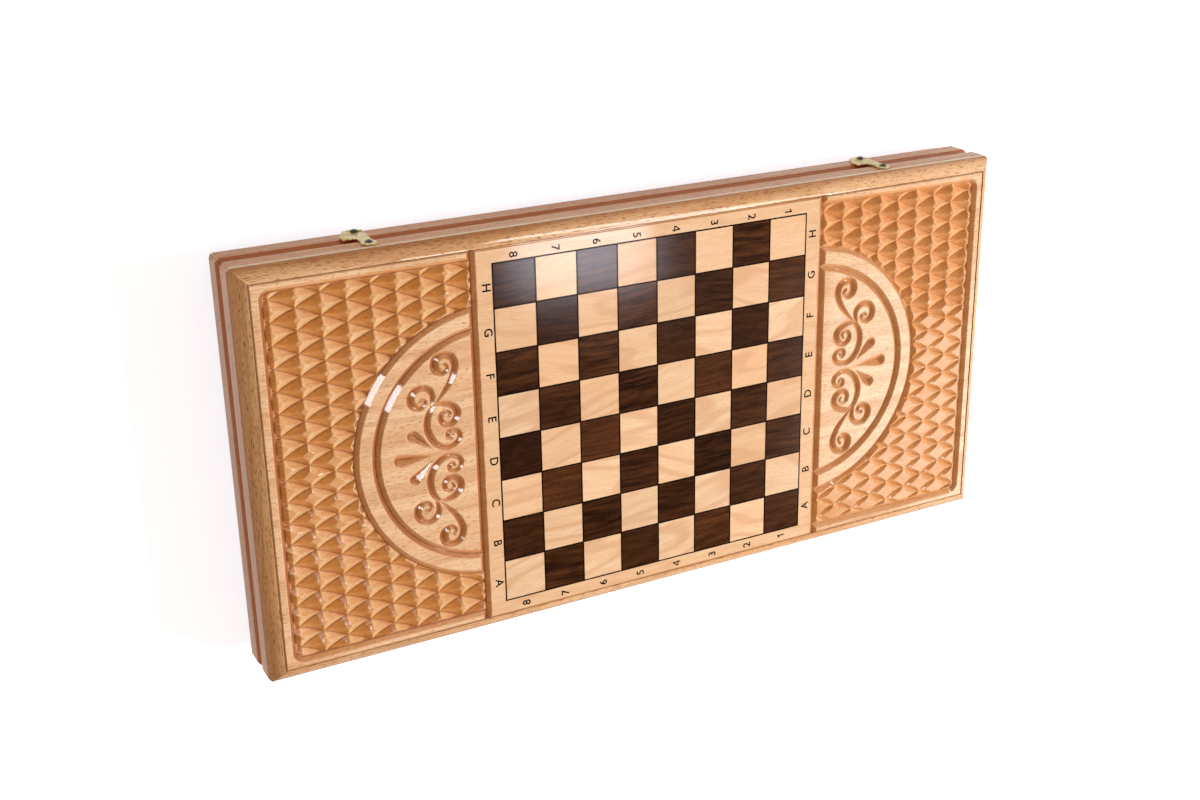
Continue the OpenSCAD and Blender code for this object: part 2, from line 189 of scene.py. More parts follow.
class Paint:
    # a material's nodes, with short ways to add and join them
    def __init__(self, name):
        self.material = bpy.data.materials.new(name)
        self.material.use_nodes = True
        self.tree = self.material.node_tree
        self.shader = self.tree.nodes["Principled BSDF"]

    def put(self, socket, value):
        # joins a node's output, or sets a plain value
        if isinstance(value, bpy.types.NodeSocket):
            self.tree.links.new(value, socket)
        else:
            socket.default_value = value

    def add(self, kind, out=0, settings=(), **inputs):
        # a node with its inputs put in by name, or by number as i0, i1 and so on; gives back one output
        node = self.tree.nodes.new("ShaderNode" + kind)
        for key, value in dict(settings).items():
            setattr(node, key, value)
        for key, value in inputs.items():
            self.put(node.inputs[int(key[1:]) if key[0] == "i" and key[1:].isdigit() else key], value)
        return node.outputs[out]

    def math(self, operation, a, b=0.0):
        return self.add("Math", settings={"operation": operation}, i0=a, i1=b)

    def times(self, a, b):
        return self.math("MULTIPLY", a, b)

    def less(self, a, b):
        return self.math("SUBTRACT", a, b)

    def absolute(self, a):
        return self.math("ABSOLUTE", a)

    def vector(self, operation, a, b=(0, 0, 0)):
        return self.add("VectorMath", settings={"operation": operation}, i0=a, i1=b)

    def mix(self, fac, a, b, blend="MIX"):
        # a at 0, b (or a times b) at 1
        node = self.tree.nodes.new("ShaderNodeMix")
        node.data_type, node.blend_type = "RGBA", blend
        self.put(node.inputs[0], fac)
        self.put(node.inputs[6], a)
        self.put(node.inputs[7], b)
        return node.outputs[2]

    def ramp(self, value, low, high):
        # 0 at low, 1 at high, smooth between
        node = self.tree.nodes.new("ShaderNodeMapRange")
        node.interpolation_type = "SMOOTHSTEP"
        self.put(node.inputs["Value"], value)
        node.inputs["From Min"].default_value = low
        node.inputs["From Max"].default_value = high
        return node.outputs["Result"]

    def noise(self, place, pair, detail=2.0, rough=0.5, out=0):
        # noise with so many spots per metre along X and across it
        where = self.vector("MULTIPLY", place, (pair[0], pair[1], pair[1]))
        return self.add("TexNoise", out, Vector=where, Scale=1.0, Detail=detail, Roughness=rough)

    def waver(self, place, pair, by):
        # the place, pushed across the grain by up to half of by, in metres
        push = self.vector("SUBTRACT", self.noise(place, pair, detail=1.0, out=1), (0.5, 0.5, 0.5))
        return self.vector("ADD", place, self.vector("MULTIPLY", push, (0.0, by, by)))

    def spread(self, value, low, high):
        # runs from low to high while the value goes from 0.3 to 0.7
        return self.add("MapRange", i0=value, i1=0.3, i2=0.7, i3=low, i4=high)

    def point(self, label):
        # a value stored on the mesh's points
        return self.add("Attribute", out=2, settings={"attribute_name": label})

    def finish(self, base, rough, relief, bump, **fixed):
        # joins the shader up; bump is strength and height in metres, and a fixed value is set on its own socket, with
        # _ for a space
        self.put(self.shader.inputs["Base Color"], base)
        self.put(self.shader.inputs["Roughness"], rough)
        self.put(self.shader.inputs["Normal"], self.add("Bump", Height=relief, Strength=bump[0], Distance=bump[1]))
        for key, value in fixed.items():
            self.shader.inputs[key.replace("_", " ")].default_value = value
        return self.material


beech = {
    "light": (244, 204, 164),      # tones, 0 to 255
    "middle": (232, 184, 138),
    "dark": (196, 136, 88),
    "fleck": (158, 98, 56),
    "streaks": (5.0, 95.0),        # patterns: spots per metre, along and across the grain
    "figure": (1.1, 26.0),
    "fibre": (40.0, 900.0),
    "flecks": (230.0, 1500.0),
    "warp": (3.0, 9.0),
    "warpBy": 0.05,                # metres
    "ringTurns": 46.0,             # how fast the figure goes from ring to ring
    "range": {"streaks": (0.3, 0.7), "rings": (0.1, 1.0), "fibre": (0.45, 0.7), "flecks": (0.58, 0.68)},
    "ringShare": 0.30,             # shares of the darker tones
    "fibreShare": 0.3,
    "fleckShare": {"rail": 0.8, "panel": 0.55},
    "coat": {"rail": 0.5, "panel": 0.9},
    "coatRough": 0.05,
    "rough": (0.42, 0.55),
    "shine": 0.15,
    "fibreRise": 0.5,              # how high fibres stand beside how deep flecks lie
    "bump": (0.18, 0.0002),        # strength, height in metres
}
carvedTones = {
    "carved": (222, 156, 98),      # tone of a cut face
    "valleyShade": (120, 46, 6),        # painted shade at the bottom of a cut and on walls that face -X
    "mottle": (204, 120, 52),      # darker patches of a cut face
    "planed": (1.05, 1.13, 1.27),  # how much paler the uncut face is than the rails
    "litFacet": (0.94, 1.20, 1.50),  # painted highlight: lattice facets that face the key lamp, towards -X, times the tone
    # painted shade: lattice facets that face away from the key lamp, towards +X, times the tone
    "shadedFacet": (1.12, 1.10, 0.80),
    "patches": (160.0, 420.0),     # per metre, along and across the grain
    "grain": (150.0, 900.0),
    "range": {"patches": (0.48, 0.72), "grain": (0.5, 0.7)},
    "share": {"carved": 0.72, "patches": 0.45, "grain": 0.45, "valleyShade": 0.8},
    "coat": (0.9, 0.78),           # varnish of the smooth wood, and how much of it the lattice lacks
}
railTones = {
    "panelHalf": (286.0, 134.5),   # half sizes, mm
    "frameHalf": (296.5, 145.0),
    "seamHeight": 29.0,            # mm above the table; the rises below are measured from it
    # tone and share of each mark
    "under": ((166, 96, 40), 0.55),    # painted shade on the lower, outer part of the moulding
    "side": ((200, 116, 60), 0.4),     # painted shade on the outer upright faces
    "seam": ((186, 100, 38), 0.85),    # painted shade on the bevels beside the seam
    "mitre": ((58, 28, 12), 0.6),
    "sandedHighlight": ((255, 250, 236), 0.9),  # pale edge along the latch side: sanded wood with a painted highlight
    "joint": ((58, 28, 12), 1.0),      # line round the panel
    # where each mark starts and where it is full, mm
    "underRise": (27.0, 20.0), "underEnd": (19.5, 19.8),
    "sideIn": (0.8, 0.3),
    "seamRise": (5.5, 4.7), "seamIn": (4.5, 3.5),
    "sandedHighlightAt": 19.8, "sandedHighlightBand": (0.9, 0.6), "sandedHighlightSide": (-143.5, -144.0),
    "mitreBand": (0.4, 0.1),
    "jointBand": (0.85, 0.35), "jointRise": (26.0, 28.0),
    "jointLevel": 0.85, "hingeLess": 0.5,  # the line is fainter on the hinge side
    "hingeRow": (-1.0, 0.0), "hingeHalf": (-10.0, 10.0),
}


def railMarks(p, s, base):
    # marks by place, each the product of ramps over distances to the seam, panel and outer faces; three are painted
    # shade, one a painted highlight
    x, y, z = (p.add("SeparateXYZ", out=k, i0=p.add("TexCoord", out=3)) for k in range(3))
    farX, farY = p.absolute(x), p.absolute(y)

    def ramp(value, pair):
        return p.ramp(value, pair[0] * mm, pair[1] * mm)

    def tint(base, mask, name):
        tone, share = s[name]
        return p.mix(p.times(mask, share), base, colour(*tone))

    inX, inY = p.less(farX, s["panelHalf"][0] * mm), p.less(farY, s["panelHalf"][1] * mm)
    outX, outY = p.less(s["frameHalf"][0] * mm, farX), p.less(s["frameHalf"][1] * mm, farY)
    out = p.math("MINIMUM", outX, outY)
    rise = p.absolute(p.less(z, s["seamHeight"] * mm))
    offSandedHighlight = p.absolute(p.less(rise, s["sandedHighlightAt"] * mm))
    # painted shade on the lower, outer part of the moulding
    base = tint(base, p.times(ramp(rise, s["underRise"]), ramp(rise, s["underEnd"])), "under")
    # painted shade on the outer upright faces
    base = tint(base, ramp(out, s["sideIn"]), "side")
    # painted shade on the bevels beside the seam
    base = tint(base, p.times(ramp(rise, s["seamRise"]), ramp(out, s["seamIn"])), "seam")
    base = tint(base, ramp(p.absolute(p.less(outX, outY)), s["mitreBand"]), "mitre")
    # pale sanded edge with a painted highlight along the latch side
    base = tint(base, p.times(ramp(offSandedHighlight, s["sandedHighlightBand"]), ramp(y, s["sandedHighlightSide"])), "sandedHighlight")
    joint = p.times(ramp(p.absolute(p.math("MAXIMUM", inX, inY)), s["jointBand"]), ramp(rise, s["jointRise"]))
    hingeSide = p.times(ramp(inY, s["hingeRow"]), ramp(y, s["hingeHalf"]))
    level = p.less(s["jointLevel"], p.times(hingeSide, s["hingeLess"]))
    return tint(base, p.times(joint, level), "joint")


def carvedMarks(p, s, base, place):
    # tones of the carving from values stored on its points: the paler uncut face, the cut tone with its patches,
    # facets painted lighter or darker by how they face the key lamp, painted shade in the valleys; the lattice also
    # has less varnish
    cut, facingLamp = p.point("cut"), p.point("facingLamp")
    share = s["share"]
    patches = p.ramp(p.noise(place, s["patches"], detail=4.0, rough=0.65), *s["range"]["patches"])
    grain = p.ramp(p.noise(place, s["grain"]), *s["range"]["grain"])
    base = p.mix(p.less(1.0, cut), base, (*s["planed"], 1), "MULTIPLY")
    base = p.mix(p.times(cut, share["carved"]), base, colour(*s["carved"]))
    base = p.mix(p.times(cut, p.times(patches, share["patches"])), base, colour(*s["mottle"]))
    base = p.mix(p.times(cut, p.times(grain, share["grain"])), base, colour(*s["mottle"]))
    # painted highlight on facets that face the key lamp, painted shade on those that face away
    base = p.mix(p.math("MAXIMUM", facingLamp, 0.0), base, (*s["litFacet"], 1), "MULTIPLY")
    base = p.mix(p.math("MAXIMUM", p.times(facingLamp, -1.0), 0.0), base, (*s["shadedFacet"], 1), "MULTIPLY")
    full, lack = s["coat"]
    p.put(p.shader.inputs["Coat Weight"], p.less(full, p.times(p.point("matt"), lack)))
    # painted shade in the valleys and on walls that face -X
    return p.mix(p.times(p.point("valleyShade"), share["valleyShade"]), base, colour(*s["valleyShade"]))


def beechWood(name, s, kind, along="X"):
    # streaks, ring figure, fibres and flecks, each a noise drawn out along the grain and mixed in by its share
    p = Paint(name)
    place = p.add("TexCoord", out=3)
    if along == "Y":
        place = p.add("Mapping", Vector=place, Rotation=(0, 0, math.pi / 2))
    span = s["range"]
    bent = p.waver(place, s["warp"], s["warpBy"])
    streaks = p.noise(bent, s["streaks"], detail=3.0)
    figure = p.noise(bent, s["figure"], detail=1.0)
    rings = p.ramp(p.math("SINE", p.times(figure, s["ringTurns"])), *span["rings"])
    fibre = p.noise(bent, s["fibre"])
    flecks = p.ramp(p.noise(place, s["flecks"], detail=1.0), *span["flecks"])
    base = p.mix(p.ramp(streaks, *span["streaks"]), colour(*s["light"]), colour(*s["middle"]))
    base = p.mix(p.times(rings, s["ringShare"]), base, colour(*s["dark"]))
    base = p.mix(p.times(p.ramp(fibre, *span["fibre"]), s["fibreShare"]), base, colour(*s["dark"]))
    base = p.mix(p.times(flecks, s["fleckShare"][kind]), base, colour(*s["fleck"]))
    base = carvedMarks(p, carvedTones, base, place) if kind == "panel" else railMarks(p, railTones, base)
    relief = p.math("ADD", p.times(flecks, -1.0), p.times(fibre, s["fibreRise"]))
    return p.finish(base, p.spread(streaks, *s["rough"]), relief, s["bump"], Specular_IOR_Level=s["shine"],
                    Coat_Weight=s["coat"][kind], Coat_Roughness=s["coatRough"])


veneer = {
    # light, middle and dark tone
    "pale": ((252, 226, 198), (244, 208, 173), (220, 170, 130)),
    "border": ((246, 212, 178), (238, 198, 160), (210, 158, 116)),
    "dark": ((74, 41, 19), (55, 27, 11), (31, 14, 6)),
    "darkSquare": ((98, 58, 29), (40, 17, 6), (14, 5, 2)),
    "red": ((150, 62, 44), (124, 46, 32), (92, 30, 22)),
    "ink": ((28, 14, 9), (20, 10, 6), (12, 6, 4)),
    "cell": 31.0,                  # mm
    "turn": 0.7,                   # how far a square's grain may turn, radians
    "apart": 3.0,                  # how far apart the squares' pieces of grain lie, metres
    "otherShare": (0.8, 0.75),     # how far a square may go to its other tone, and how far that is from the veneer's
    "streaks": (12.0, 220.0),      # patterns: spots per metre, along and across the grain
    "figure": (7.0, 34.0),
    "fibre": (70.0, 1900.0),
    "flecks": (300.0, 2200.0),
    "warp": (8.0, 22.0),
    "warpBy": 0.02,                # metres
    "ringTurns": 34.0,
    "range": {"streaks": (0.3, 0.7), "rings": (0.2, 1.0), "fibre": (0.42, 0.75), "flecks": (0.58, 0.74)},
    "fleckShare": 0.35,
    "rough": 0.5,
    "fibreRise": 0.4,
    "bump": (0.15, 0.0001),
    # what a finish may change: share of the rings and of the fibres, how fine the grain is, shine, varnish and its
    # roughness, and for squares the other tone, the range of lightness and how much they are turned
    "usual": {"ringShare": 0.5, "fibreShare": 0.4, "fine": 1.0, "shine": 0.2, "coat": 0.9, "gloss": 0.08,
              "other": None, "level": (0.9, 1.08), "turned": 1.0},
}


def veneerWood(name, tones, s, **changes):
    # as the beech, with finer grain; over squares, each cell's own noise turns and shifts the grain, moves the tone
    # towards the other one and scales its lightness
    p = Paint(name)
    look = dict(s["usual"], **changes)
    place = p.add("TexCoord", out=3)
    if look["other"]:
        perCell = 1 / (s["cell"] * mm)
        cell = p.vector("FLOOR", p.vector("MULTIPLY", place, (perCell, perCell, 0)))
        noise = p.add("TexWhiteNoise", out=1, Vector=cell)
        first, second, third = (p.add("SeparateXYZ", out=k, i0=noise) for k in range(3))
        place = p.add("VectorRotate", Vector=place, Angle=p.times(p.less(first, 0.5), s["turn"] * look["turned"]))
        place = p.vector("ADD", place, p.vector("MULTIPLY", noise, [s["apart"]] * 3))
    place = p.vector("MULTIPLY", place, [look["fine"]] * 3)
    span = s["range"]
    bent = p.waver(place, s["warp"], s["warpBy"])
    streaks = p.noise(bent, s["streaks"], detail=4.0, rough=0.6)
    figure = p.noise(bent, s["figure"], detail=1.0)
    rings = p.ramp(p.math("SINE", p.times(figure, s["ringTurns"])), *span["rings"])
    fibre = p.noise(bent, s["fibre"], detail=3.0, rough=0.7)
    flecks = p.ramp(p.noise(place, s["flecks"], detail=1.0), *span["flecks"])
    light, middle, dark = (colour(*tone) for tone in s[tones])
    base = p.mix(p.ramp(streaks, *span["streaks"]), light, middle)
    if look["other"]:
        reach, share = s["otherShare"]
        base = p.mix(p.times(second, reach), base, p.mix(share, base, colour(*look["other"])))
    base = p.mix(p.times(rings, look["ringShare"]), base, dark)
    base = p.mix(p.times(p.ramp(fibre, *span["fibre"]), look["fibreShare"]), base, dark)
    base = p.mix(p.times(flecks, s["fleckShare"]), base, dark)
    if look["other"]:
        lift = p.add("MapRange", i0=third, i1=0.0, i2=1.0, i3=look["level"][0], i4=look["level"][1])
        base = p.mix(1.0, base, p.add("CombineXYZ", i0=lift, i1=lift, i2=lift), "MULTIPLY")
    relief = p.math("ADD", p.times(flecks, -1.0), p.times(fibre, s["fibreRise"]))
    return p.finish(base, s["rough"], relief, s["bump"], Specular_IOR_Level=look["shine"],
                    Coat_Weight=look["coat"], Coat_Roughness=look["gloss"])


metals = {
    # tone, worn tone, roughness, how metallic
    "brass": ((244, 226, 170), (214, 186, 122), 0.34, 0.72),
    "steel": ((190, 190, 188), (150, 150, 150), 0.28, 1.0),
    "screw_steel": ((112, 104, 92), (70, 64, 58), 0.3, 1.0),
    "wear": (160.0, 160.0),        # per metre
    "wornRange": (0.45, 0.75),
    "brushed": (135.0, 900.0),
    "roughRange": (0.8, 1.35),     # times the roughness
    "bump": (0.12, 0.00005),
}


def metal(name, s):
    # cloudy wear between two tones, rougher where it is worn, with a fine brushed relief
    p = Paint(name)
    tone, worn, rough, metallic = s[name]
    place = p.add("TexCoord", out=3)
    cloud = p.noise(place, s["wear"], detail=3.0)
    base = p.mix(p.ramp(cloud, *s["wornRange"]), colour(*tone), colour(*worn))
    level = p.spread(cloud, *(rough * k for k in s["roughRange"]))
    return p.finish(base, level, p.noise(place, s["brushed"]), s["bump"], Metallic=metallic)


finishes = {
    "railAlong": beechWood("beech_rail_long", beech, "rail"),
    "railAcross": beechWood("beech_rail_short", beech, "rail", along="Y"),
    "carvedPanel": beechWood("beech_carved", beech, "panel"),
    "paleField": veneerWood("pale_field", "pale", veneer, ringShare=0.2),
    "border": veneerWood("pale_border", "border", veneer, ringShare=0.2),
    "paleSquares": veneerWood("pale_squares", "pale", veneer, other=(238, 188, 142), level=(0.92, 1.05),
                              gloss=0.12, fibreShare=0.55),
    "darkSquares": veneerWood("dark_squares", "darkSquare", veneer, other=(88, 52, 30), level=(0.5, 1.3),
                              gloss=0.12, fibreShare=0.75, ringShare=0.25, fine=1.5, shine=0.03, turned=0.2),
    "darkVeneer": veneerWood("dark_veneer", "dark", veneer, ringShare=0.3, shine=0.05),
    "redVeneer": veneerWood("red_veneer", "red", veneer, ringShare=0.3),
    "ink": veneerWood("dark_ink", "ink", veneer, ringShare=0.2, shine=0.02, coat=0.2),
    "brass": metal("brass", metals),
    "steel": metal("steel", metals),
    "screwSteel": metal("screw_steel", metals),
}


def dress(node, finish):
    # a CAD node keeps its shape and gets one of the finishes
    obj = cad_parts[node]
    obj.data.materials.clear()
    obj.data.materials.append(finishes[finish])


for half in ("base", "lid"):
    dress(f"{half}_field", "paleField")
    dress(f"{half}_points_dark", "darkVeneer")
    dress(f"{half}_points_light", "redVeneer")
dress("chess_border", "border")
dress("chess_lines", "ink")
dress("chess_squares_dark", "darkSquares")
dress("chess_squares_light", "paleSquares")
for side in ("left", "right"):
    dress(f"hinge_{side}_base_leaf", "brass")
    dress(f"hinge_{side}_lid_leaf", "brass")
    dress(f"hinge_{side}_pin", "steel")
dress("hinge_screws_base", "brass")
dress("hinge_screws_lid", "brass")
print("finishes ready:", len(finishes))

# carved panels
panel = {
    "long": 286.0, "wide": 134.5,         # half sizes, mm
    "top": 58.0, "thick": 8.0,
    "edgeCut": 0.8,
    "seatHalf": 135.0, "seatDeep": 0.8,   # seat of the chess veneers
    "seatWall": 0.05, "seatEdge": 0.02,   # how far in the seat's wall leans, and where it counts as seat
    "grooveAt": 139.0, "grooveHalf": 3.3, "grooveDeep": 2.5,
    "borderLong": 277.8, "borderWide": 128.0, "borderRound": 5.0,
    "ringAt": 130.1, "ringMiddle": 1.0, "rings": (82.8, 97.7),
    "step": 0.55, "backStep": 0.8,        # mesh of the lid's and of the base's carving
    "reach": 0.42,                        # how near a line is for a point to move onto it, in steps
    "clear": 0.6,                         # space left free of moved points beside a groove
}
lattice = {
    "halfLong": 16.69, "halfWide": 7.603,  # half diagonals of one rhomb, mm
    "start": {1: (240.7, -107.4), -1: (-241.6, -106.3)},
    "slope": 0.76,
    "leaf": 1.75, "least": 0.2,            # extra depth at the middle of an edge, depth at a crossing
    "round": 2.5,
    "ridge": 1.0,                          # how far the ridges are blended, mm
    "rimSlope": 0.9,                       # how steeply it may deepen from the edge of its area
    "lineFrom": 0.3,                       # depth from which its lines are toned
    "extraBack": 1.2,
    "extraLeft": (2.6, 1.3, 9.3, 37.0),    # depth, how much less at the middle, where that is, how wide
    "extraRight": (0.15, 2.4, (-40.0, -18.0)),  # depth, how much more at the front, where that fades
}
# scroll strokes from the middle of the medallion's straight side: (out, down, width) in mm
scrolls = {
    "slope": 0.76,
    "spacing": 0.35,
    "reach": 6.0,                          # how far a stroke is felt, mm
    "lineFrom": 0.3,                       # depth from which its line is toned
    "block": 4000,                         # points worked out at once
    "strokes": [
        [(39.5, -35.6, 1.5), (34.2, -41.2, 3.4), (28.0, -49.0, 5.2), (24.6, -56.7, 5.9), (24.3, -61.4, 6.2),
         (26.4, -66.3, 6.2), (31.7, -68.5, 6.2), (36.7, -67.0, 6.8), (38.5, -62.3, 7.2), (37.3, -58.3, 6.6),
         (33.6, -56.1, 5.0), (30.5, -57.4, 3.7), (29.5, -59.8, 3.1), (31.1, -61.7, 3.1)],
        [(42.6, -34.1, 2.0), (41.3, -38.1, 4.0), (41.3, -42.8, 5.0), (44.1, -46.8, 5.3), (49.1, -48.4, 5.6),
         (54.0, -46.5, 5.9), (56.5, -41.9, 6.2), (55.6, -37.2, 6.2), (51.9, -34.4, 5.3), (48.1, -35.0, 4.0),
         (46.3, -38.1, 3.4), (48.5, -40.0, 3.1), (50.3, -39.4, 3.1)],
        [(40.4, -34.1, 2.2), (36.7, -35.0, 3.7), (31.7, -34.1, 5.3), (26.4, -31.3, 5.9), (24.0, -26.7, 6.2),
         (25.5, -22.0, 5.9), (29.5, -19.2, 5.3), (33.9, -20.2, 5.0), (36.1, -23.6, 4.7), (35.1, -27.6, 4.0),
         (31.7, -28.8, 3.4), (29.2, -26.7, 3.1), (30.5, -24.2, 2.5)],
        [(40.4, -34.1, 3.6), (43.5, -30.4, 5.0), (45.4, -25.7, 5.6), (46.0, -19.5, 5.9), (44.4, -13.3, 5.9),
         (41.0, -7.8, 5.6), (35.7, -4.0, 5.3), (30.5, -3.4, 5.0), (25.5, -5.3, 4.7), (23.0, -9.0, 4.7),
         (24.0, -12.7, 4.3), (27.1, -14.6, 4.3), (30.8, -14.0, 4.3), (31.7, -10.9, 4.0), (29.5, -9.0, 3.1),
         (28.0, -10.9, 3.1)],
        [(42.9, -4.0, 0.6), (47.0, -7.4, 3.2), (51.5, -11.6, 6.2), (55.2, -14.6, 8.2), (56.6, -15.6, 8.6)],
    ],
    "middleStroke": [(40.4, 0.6, 0.6), (47.0, 0.5, 2.4), (55.0, 0.3, 5.6), (62.0, 0.2, 8.4), (66.1, 0.1, 9.8)],
}


def smoothLine(points, spacing):
    # Catmull-Rom curve through the points, as rows of (out, down, width) about one spacing apart
    p = np.array(points, float)
    p = np.vstack([2 * p[0] - p[1], p, 2 * p[-1] - p[-2]])
    rows = []
    for a, b, c, d in zip(p[:-3], p[1:-2], p[2:-1], p[3:]):
        n = max(2, int(np.linalg.norm(c[:2] - b[:2]) / spacing))
        t = np.linspace(0, 1, n, endpoint=False)[:, None]
        bend, twist = 2 * a - 5 * b + 4 * c - d, 3 * b - a - 3 * c + d
        rows.append(0.5 * (2 * b + (c - a) * t + bend * t ** 2 + twist * t ** 3))
    rows.append(p[-2:-1])
    return np.vstack(rows)


def scrollRows(s):
    # every stroke of one medallion half, the mirrored ones included
    upper = np.vstack([smoothLine(stroke, s["spacing"]) for stroke in s["strokes"]])
    lower = upper * (1, -1, 1)
    return np.vstack([upper, lower, smoothLine(s["middleStroke"], s["spacing"])])


scrollLine = scrollRows(scrolls)


def groove(distance, half, deep):
    # V groove: full depth on its line, rising straight to nothing at half its width
    return np.clip(deep * (1 - np.abs(distance) / half), 0, None)


def borderDistance(x, y, s):
    # distance outside a rounded rectangle, negative inside
    qx = np.abs(x) - (s["borderLong"] - s["borderRound"])
    qy = np.abs(y) - (s["borderWide"] - s["borderRound"])
    outside = np.hypot(np.maximum(qx, 0), np.maximum(qy, 0))
    return outside + np.minimum(np.maximum(qx, qy), 0) - s["borderRound"]


def latticeParts(x, s, back):
    # where each pattern of rhombs starts and which points it covers: one on the back, one in each wing of the lid
    if back:
        return [((0.0, 0.0), np.full(x.shape, True))]
    return [(start, x * side > 0) for side, start in s["start"].items()]


def latticeLines(x, y, s, start):
    # for both families of lines: distance across to the nearest line, phase along it from the nearest crossing,
    # and the direction across
    long, wide = s["halfLong"], s["halfWide"]
    edge = math.hypot(long, wide)
    cos, sin = long / edge, wide / edge
    pitch = 2 * long * wide / edge
    dx, dy = x - start[0], y - start[1]
    out = []
    for turn in (1, -1):
        along, across = dx * cos + turn * dy * sin, -dx * sin + turn * dy * cos
        line = np.round(across / pitch)
        phase = (along - line * (2 * wide * wide / edge)) / edge
        out.append((across - pitch * line, np.abs(phase - np.round(phase)), (-sin, turn * cos)))
    return out


def smoothStep(value, low, high):
    # 0 at low, 1 at high, 3 t squared less 2 t cubed between
    t = np.clip((value - low) / (high - low), 0, 1)
    return t * t * (3 - 2 * t)


def latticeExtra(x, y, s, back):
    # how much deeper than the plain leaves the lattice is cut: even on the back, shallower round the middle of the
    # left wing, deeper at the front of the right wing
    if back:
        return np.full_like(x, s["extraBack"])
    deep, less, middle, wide = s["extraLeft"]
    left = deep - less * np.exp(-((y - middle) / wide) ** 2)
    shallow, more, fade = s["extraRight"]
    return np.where(x > 0, left, shallow + more * (1 - smoothStep(y, *fade)))


def latticeDepth(lines, extra, s):
    # the deeper of the two families, blended on the ridges: leaf profile along a line, straight walls across it
    walls = []
    for across, phase, _ in lines:
        leaf = s["least"] + s["leaf"] * (1 - (1 - 2 * phase) ** s["round"])
        walls.append(leaf + extra - s["slope"] * np.abs(across))
    ridge = np.clip(1 - np.abs(walls[0] - walls[1]) / s["ridge"], 0, 1)
    return np.maximum(*walls) + ridge ** 2 * s["ridge"] / 4


def scrollDepth(x, y, s):
    # union of cones along the strokes: half a width deep times the wall slope at the stroke's middle; also the
    # distance to the nearest stroke
    deep = np.zeros(x.shape)
    reach = s["reach"]
    lo, hi = scrollLine[:, :2].min(0) - reach, scrollLine[:, :2].max(0) + reach
    inside = (x > lo[0]) & (x < hi[0]) & (y > lo[1]) & (y < hi[1])
    px, py = x[inside], y[inside]
    best, near = np.zeros(len(px)), np.zeros(len(px))
    for start in range(0, len(px), s["block"]):
        part = slice(start, start + s["block"])
        distance = np.hypot(px[part, None] - scrollLine[:, 0], py[part, None] - scrollLine[:, 1])
        best[part] = (s["slope"] * (scrollLine[:, 2] / 2 - distance)).max(1)
        near[part] = distance.min(1)
    deep[inside] = np.maximum(best, 0)
    away = np.full(x.shape, reach)
    away[inside] = np.where(best > s["lineFrom"], near, reach)
    return deep, away


def carvedDepth(x, y, back):
    # depth below the outer face, the deepest of all cuts, with the distance to the nearest line and the depths of
    # lattice and scrolls together and of the lattice alone; each wing of the lid has half a medallion, the back one
    s, cell = panel, lattice
    far = np.abs(x)
    out, up = (far, y) if back else (far - s["ringAt"], y - s["ringMiddle"])
    ringFar, border = np.hypot(out, up), borderDistance(x, y, s)
    edgeOfArea = np.minimum(-border, ringFar - s["rings"][1])
    if back:
        wing, deep, line = np.full(x.shape, True), np.zeros_like(x), np.full_like(x, np.inf)
    else:
        grooveFar = far - s["grooveAt"]
        wing, deep, line = grooveFar >= 0, groove(grooveFar, s["grooveHalf"], s["grooveDeep"]), np.abs(grooveFar)
        edgeOfArea = np.minimum(edgeOfArea, grooveFar)
    for distance in [ringFar - ring for ring in s["rings"]] + [border]:
        cut = groove(distance, s["grooveHalf"], s["grooveDeep"])
        deep = np.where(wing, np.maximum(deep, cut), deep)
        line = np.where(wing, np.minimum(line, np.abs(distance)), line)
    area = wing & (edgeOfArea > 0)
    cells, cellLine = np.zeros_like(x), np.full_like(x, np.inf)
    for start, covered in latticeParts(x, cell, back):
        here = area & covered
        if here.any():
            lines = latticeLines(x[here], y[here], cell, start)
            cells[here] = latticeDepth(lines, latticeExtra(x[here], y[here], cell, back), cell)
            cellLine[here] = np.minimum(*[np.abs(row[0]) for row in lines])
    rim = s["grooveDeep"] + cell["rimSlope"] * np.maximum(edgeOfArea, 0)
    cells = np.where(area, np.minimum(cells, rim), 0)
    scroll, away = scrollDepth(out, up, scrolls)
    figure = np.where(wing, np.maximum(cells, scroll), 0)
    deep = np.maximum(deep, figure)
    line = np.where(cells > cell["lineFrom"], np.minimum(line, cellLine), line)
    line = np.where(wing, np.minimum(line, away), line)
    edge = np.minimum(s["long"] - far, s["wide"] - np.abs(y))
    deep = np.maximum(deep, s["edgeCut"] - edge)
    if not back:
        deep = np.where(far < s["seatHalf"] - s["seatEdge"], s["seatDeep"], deep)
    return deep, line, figure, cells


def gridLines(keys, step, coarse=()):
    # lines through every key, filled to about one step apart; a coarse span stays empty
    keys = sorted(set(keys))
    out = [keys[0]]
    for a, b in zip(keys[:-1], keys[1:]):
        n = 1 if any(lo <= a and b <= hi for lo, hi in coarse) else max(1, math.ceil((b - a) / step))
        out.extend(np.linspace(a, b, n + 1)[1:])
    return np.array(out)


